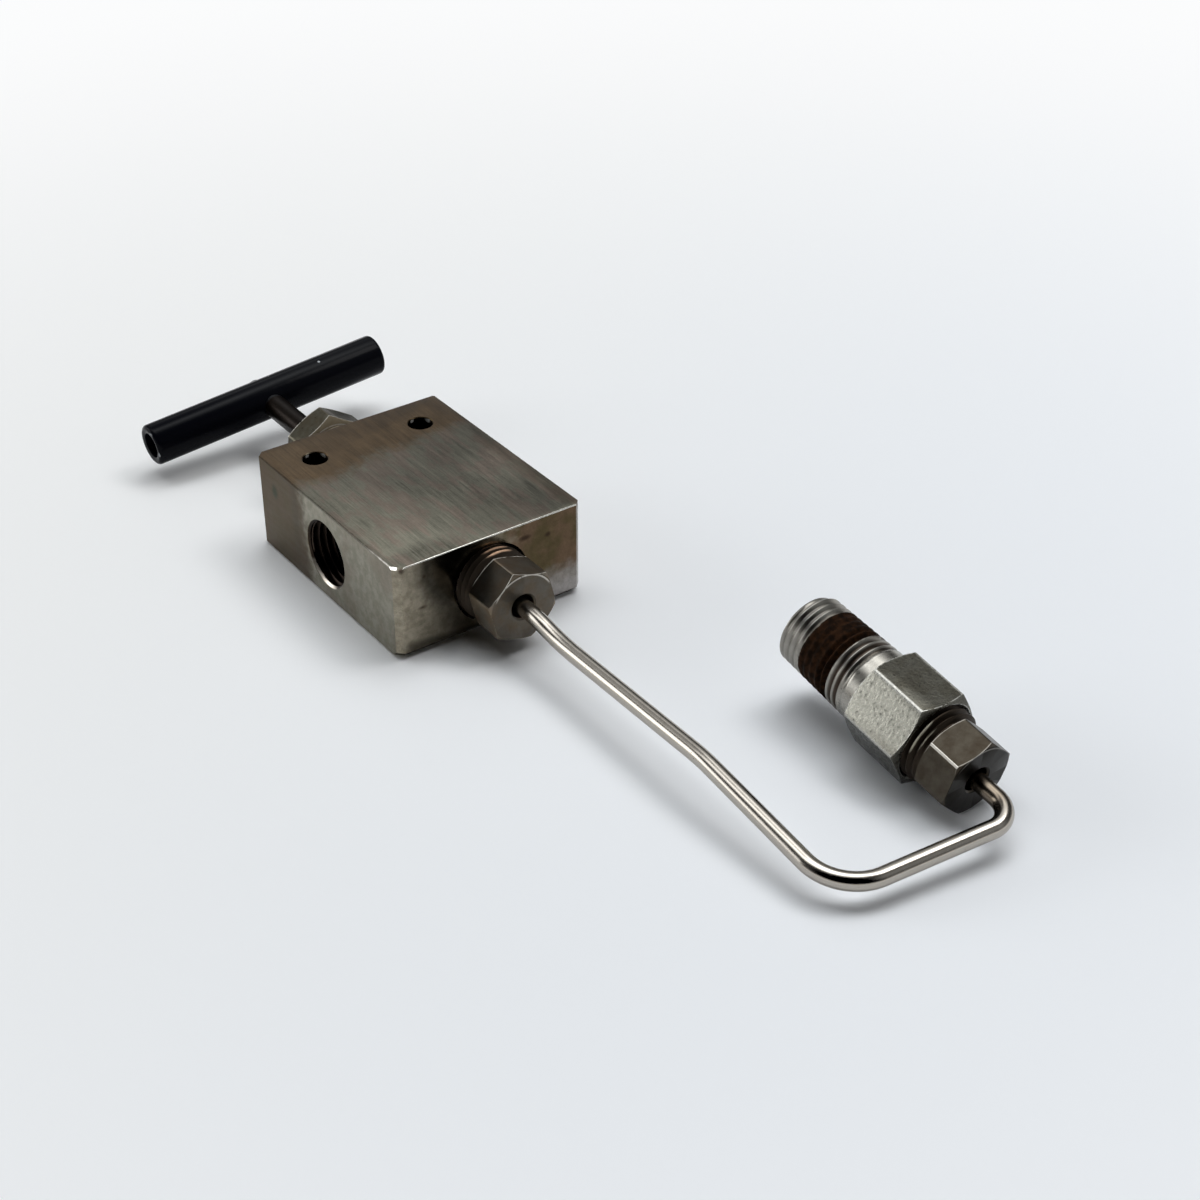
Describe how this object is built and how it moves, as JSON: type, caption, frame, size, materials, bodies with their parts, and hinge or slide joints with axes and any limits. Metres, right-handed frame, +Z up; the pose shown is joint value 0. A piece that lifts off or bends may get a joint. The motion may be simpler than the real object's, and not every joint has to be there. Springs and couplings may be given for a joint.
{
  "type": "high-pressure needle valve",
  "caption": "Angle needle valve in a steel block with a T-handle, an open side port and a bent tube to a male pipe adapter.",
  "frame": {"origin": "midway between the two mounting holes, on the block's base face", "axes": "+Y along the stem to the T-handle, +Z up from the base face, side port facing -X"},
  "size_m": [0.0685, 0.189, 0.0197],
  "materials": {
    "block_steel": "ground lengthwise, tarnished brown in places",
    "gland_steel": "machined, tarnished",
    "nut_steel": "machined, brown stains",
    "adapter_steel": "machined, bright threads with dark sealant",
    "tube_steel": "drawn, satin",
    "needle_steel": "hardened and polished",
    "stem_steel": "dark, heat-brown",
    "black_enamel": "gloss black, worn at one end",
    "packing_plastic": "plain"
  },
  "bodies": {
    "valve": {"valve_body": "block_steel", "packing_gland": "gland_steel", "packing_follower": "stem_steel", "packing_ring_upper": "packing_plastic", "packing_ring_middle": "packing_plastic", "packing_ring_lower": "packing_plastic", "packing_washer": "stem_steel", "inlet_gland_nut": "nut_steel", "inlet_sleeve": "tube_steel", "link_tube": "tube_steel", "adapter_sleeve": "tube_steel", "adapter_gland_nut": "nut_steel", "adapter_body": "adapter_steel"},
    "needle": {"lower_stem": "needle_steel"},
    "handle": {"upper_stem": "stem_steel", "stem_retainer": "stem_steel", "thrust_washer": "needle_steel", "handle_bar": "black_enamel"}
  },
  "joints": [
    {"name": "stem_travel", "type": "slide", "parent": "valve", "child": "needle", "axis": [0, 1, 0], "range_m": [0, 0.0022]},
    {"name": "handle_turn", "type": "hinge", "parent": "needle", "child": "handle", "pos_m": [0, 0, 0.00953], "axis": [0, 1, 0], "range_deg": [0, 720]}
  ],
  "couplings": [
    {"joint": "stem_travel", "follows": "handle_turn", "m_per_rad": 0.00016839}
  ]
}
